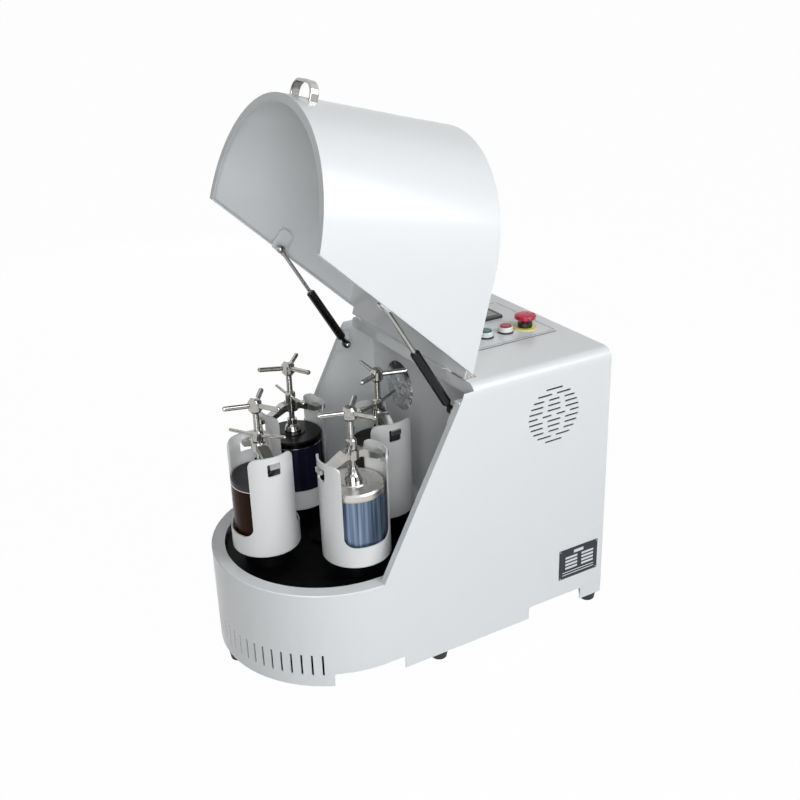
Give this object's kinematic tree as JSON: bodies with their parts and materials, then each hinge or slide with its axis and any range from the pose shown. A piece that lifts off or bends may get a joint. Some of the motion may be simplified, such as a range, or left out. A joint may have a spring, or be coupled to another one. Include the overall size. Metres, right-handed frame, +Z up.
{
  "type": "planetary ball mill",
  "caption": "Bench planetary ball mill with an open hinged hood, jars in clamped holders on a geared turning disc, and a control cabinet.",
  "frame": {"origin": "centre of the footprint, at the feet's lowest point on the bench", "axes": "+Z up, -Y towards the round front with the jars, +Y towards the control cabinet, +X to the right seen from the front"},
  "size_m": [0.47, 0.756, 1.1101],
  "materials": {
    "painted_steel": "cool-white gloss powder coat",
    "holder_paint": "white gloss powder coat",
    "frame_paint": "dark grey powder coat",
    "black_disc": "satin black",
    "chrome_steel": "polished chrome",
    "jar_dark": "dark turned metal",
    "jar_bright": "bright turned steel",
    "machined_steel": "machined, lightly oiled",
    "bearing_steel": "ground steel",
    "cast_aluminium": "as cast",
    "motor_paint": "blue-grey enamel",
    "rubber_black": "matt",
    "belt_rubber": "fine ribbed",
    "black_plastic": "matt moulded",
    "drive_plastic": "matt moulded",
    "panel_film": "light grey printed film",
    "display_glass": "dark glossy window",
    "green_plastic": "glossy moulded",
    "red_plastic": "glossy moulded",
    "bezel_metal": "bright ring on a black washer",
    "estop_yellow": "yellow disc with black collar",
    "strut_black": "black enamel",
    "zinc": "zinc plated"
  },
  "bodies": {
    "cabinet": {"housing": "painted_steel", "base_frame": "frame_paint", "rear_cover": "painted_steel", "bulkhead": "painted_steel", "feet": "rubber_black", "main_bearings": "bearing_steel", "ring_gear": "machined_steel", "motor": "motor_paint", "drive_belt": "belt_rubber", "speed_drive": "drive_plastic", "control_panel": "panel_film", "display": "display_glass", "button_bezels": "bezel_metal", "estop_base": "estop_yellow", "power_inlet": "black_plastic", "fixed_hinges": "chrome_steel", "strut_studs": "zinc"},
    "hood": {"lid": "painted_steel", "lid_handle": "chrome_steel", "lid_hinges": "chrome_steel"},
    "cylinder_left": {"strut_cylinder_left": "strut_black"},
    "cylinder_right": {"strut_cylinder_right": "strut_black"},
    "rod_left": {"strut_rod_left": "chrome_steel"},
    "rod_right": {"strut_rod_right": "chrome_steel"},
    "green_cap": {"green_button": "green_plastic"},
    "red_cap": {"red_button": "red_plastic"},
    "stop_cap": {"estop_head": "red_plastic"},
    "disc": {"sun_disc": "black_disc", "main_shaft": "machined_steel", "main_pulley": "cast_aluminium", "planet_bearings": "black_disc"},
    "motor_rotor": {"motor_pulley": "cast_aluminium"},
    "planet_1": {"planet_gear_1": "machined_steel", "jar_holder_1": "holder_paint", "jar_1": "jar_dark", "jar_lid_1": "jar_dark", "clamp_yoke_1": "chrome_steel"},
    "clamp_foot_1": {"press_foot_1": "chrome_steel"},
    "clamp_spindle_1": {"clamp_screw_1": "chrome_steel"},
    "planet_2": {"planet_gear_2": "machined_steel", "jar_holder_2": "holder_paint", "jar_2": "jar_bright", "jar_lid_2": "jar_bright", "clamp_yoke_2": "chrome_steel"},
    "clamp_foot_2": {"press_foot_2": "chrome_steel"},
    "clamp_spindle_2": {"clamp_screw_2": "chrome_steel"},
    "planet_3": {"planet_gear_3": "machined_steel", "jar_holder_3": "holder_paint", "jar_3": "jar_dark", "jar_lid_3": "jar_dark", "clamp_yoke_3": "chrome_steel"},
    "clamp_foot_3": {"press_foot_3": "chrome_steel"},
    "clamp_spindle_3": {"clamp_screw_3": "chrome_steel"},
    "planet_4": {"planet_gear_4": "machined_steel", "jar_holder_4": "holder_paint", "jar_4": "jar_dark", "jar_lid_4": "jar_dark", "clamp_yoke_4": "chrome_steel"},
    "clamp_foot_4": {"press_foot_4": "chrome_steel"},
    "clamp_spindle_4": {"clamp_screw_4": "chrome_steel"}
  },
  "joints": [
    {"name": "lid_hinge", "type": "hinge", "parent": "cabinet", "child": "hood", "pos_m": [0, 0.054, 0.581], "axis": [1, 0, 0], "range_deg": [0, 105.4]},
    {"name": "strut_turn_left", "type": "hinge", "parent": "cabinet", "child": "cylinder_left", "pos_m": [-0.205, 0.025, 0.524], "axis": [1, 0, 0], "range_deg": [-0.5, 117.17]},
    {"name": "strut_slide_left", "type": "slide", "parent": "cylinder_left", "child": "rod_left", "axis": [0, -0.5041, 0.8636], "range_m": [-0.09273, 0.0005]},
    {"name": "strut_turn_right", "type": "hinge", "parent": "cabinet", "child": "cylinder_right", "pos_m": [0.205, 0.025, 0.524], "axis": [1, 0, 0], "range_deg": [-0.5, 117.17]},
    {"name": "strut_slide_right", "type": "slide", "parent": "cylinder_right", "child": "rod_right", "axis": [0, -0.5041, 0.8636], "range_m": [-0.09273, 0.0005]},
    {"name": "green_press", "type": "slide", "parent": "cabinet", "child": "green_cap", "axis": [0, 0, -1], "range_m": [0, 0.004], "stiffness_N_per_m": 400, "springref_m": -0.002},
    {"name": "red_press", "type": "slide", "parent": "cabinet", "child": "red_cap", "axis": [0, 0, -1], "range_m": [0, 0.004], "stiffness_N_per_m": 400, "springref_m": -0.002},
    {"name": "stop_press", "type": "slide", "parent": "cabinet", "child": "stop_cap", "axis": [0, 0, -1], "range_m": [0, 0.005]},
    {"name": "disc_turn", "type": "hinge", "parent": "cabinet", "child": "disc", "pos_m": [0, -0.147, 0.2], "axis": [0, 0, 1], "continuous": true},
    {"name": "motor_turn", "type": "hinge", "parent": "cabinet", "child": "motor_rotor", "pos_m": [0, 0.23, 0.076], "axis": [0, 0, 1], "continuous": true},
    {"name": "planet_turn_1", "type": "hinge", "parent": "disc", "child": "planet_1", "pos_m": [0, -0.277, 0.2], "axis": [0, 0, 1], "continuous": true},
    {"name": "clamp_rise_1", "type": "slide", "parent": "planet_1", "child": "clamp_foot_1", "axis": [0, 0, 1], "range_m": [0, 0.0121]},
    {"name": "clamp_turn_1", "type": "hinge", "parent": "clamp_foot_1", "child": "clamp_spindle_1", "pos_m": [0, -0.277, 0.46], "axis": [0, 0, 1], "range_deg": [0, 1440]},
    {"name": "planet_turn_2", "type": "hinge", "parent": "disc", "child": "planet_2", "pos_m": [0.13, -0.147, 0.2], "axis": [0, 0, 1], "continuous": true},
    {"name": "clamp_rise_2", "type": "slide", "parent": "planet_2", "child": "clamp_foot_2", "axis": [0, 0, 1], "range_m": [0, 0.0121]},
    {"name": "clamp_turn_2", "type": "hinge", "parent": "clamp_foot_2", "child": "clamp_spindle_2", "pos_m": [0.13, -0.147, 0.46], "axis": [0, 0, 1], "range_deg": [0, 1440]},
    {"name": "planet_turn_3", "type": "hinge", "parent": "disc", "child": "planet_3", "pos_m": [0, -0.017, 0.2], "axis": [0, 0, 1], "continuous": true},
    {"name": "clamp_rise_3", "type": "slide", "parent": "planet_3", "child": "clamp_foot_3", "axis": [0, 0, 1], "range_m": [0, 0.0121]},
    {"name": "clamp_turn_3", "type": "hinge", "parent": "clamp_foot_3", "child": "clamp_spindle_3", "pos_m": [0, -0.017, 0.46], "axis": [0, 0, 1], "range_deg": [0, 1440]},
    {"name": "planet_turn_4", "type": "hinge", "parent": "disc", "child": "planet_4", "pos_m": [-0.13, -0.147, 0.2], "axis": [0, 0, 1], "continuous": true},
    {"name": "clamp_rise_4", "type": "slide", "parent": "planet_4", "child": "clamp_foot_4", "axis": [0, 0, 1], "range_m": [0, 0.0121]},
    {"name": "clamp_turn_4", "type": "hinge", "parent": "clamp_foot_4", "child": "clamp_spindle_4", "pos_m": [-0.13, -0.147, 0.46], "axis": [0, 0, 1], "range_deg": [0, 1440]}
  ],
  "couplings": [
    {"joint": "strut_turn_left", "follows": "lid_hinge", "ratio": 1.1069},
    {"joint": "strut_slide_left", "follows": "lid_hinge", "m_per_rad": -0.050134},
    {"joint": "strut_turn_right", "follows": "lid_hinge", "ratio": 1.1069},
    {"joint": "strut_slide_right", "follows": "lid_hinge", "m_per_rad": -0.050134},
    {"joint": "motor_turn", "follows": "disc_turn", "ratio": 2.5},
    {"joint": "planet_turn_1", "follows": "disc_turn", "ratio": -3},
    {"joint": "clamp_rise_1", "follows": "clamp_turn_1", "m_per_rad": 0.00047746},
    {"joint": "planet_turn_2", "follows": "disc_turn", "ratio": -3},
    {"joint": "clamp_rise_2", "follows": "clamp_turn_2", "m_per_rad": 0.00047746},
    {"joint": "planet_turn_3", "follows": "disc_turn", "ratio": -3},
    {"joint": "clamp_rise_3", "follows": "clamp_turn_3", "m_per_rad": 0.00047746},
    {"joint": "planet_turn_4", "follows": "disc_turn", "ratio": -3},
    {"joint": "clamp_rise_4", "follows": "clamp_turn_4", "m_per_rad": 0.00047746}
  ]
}
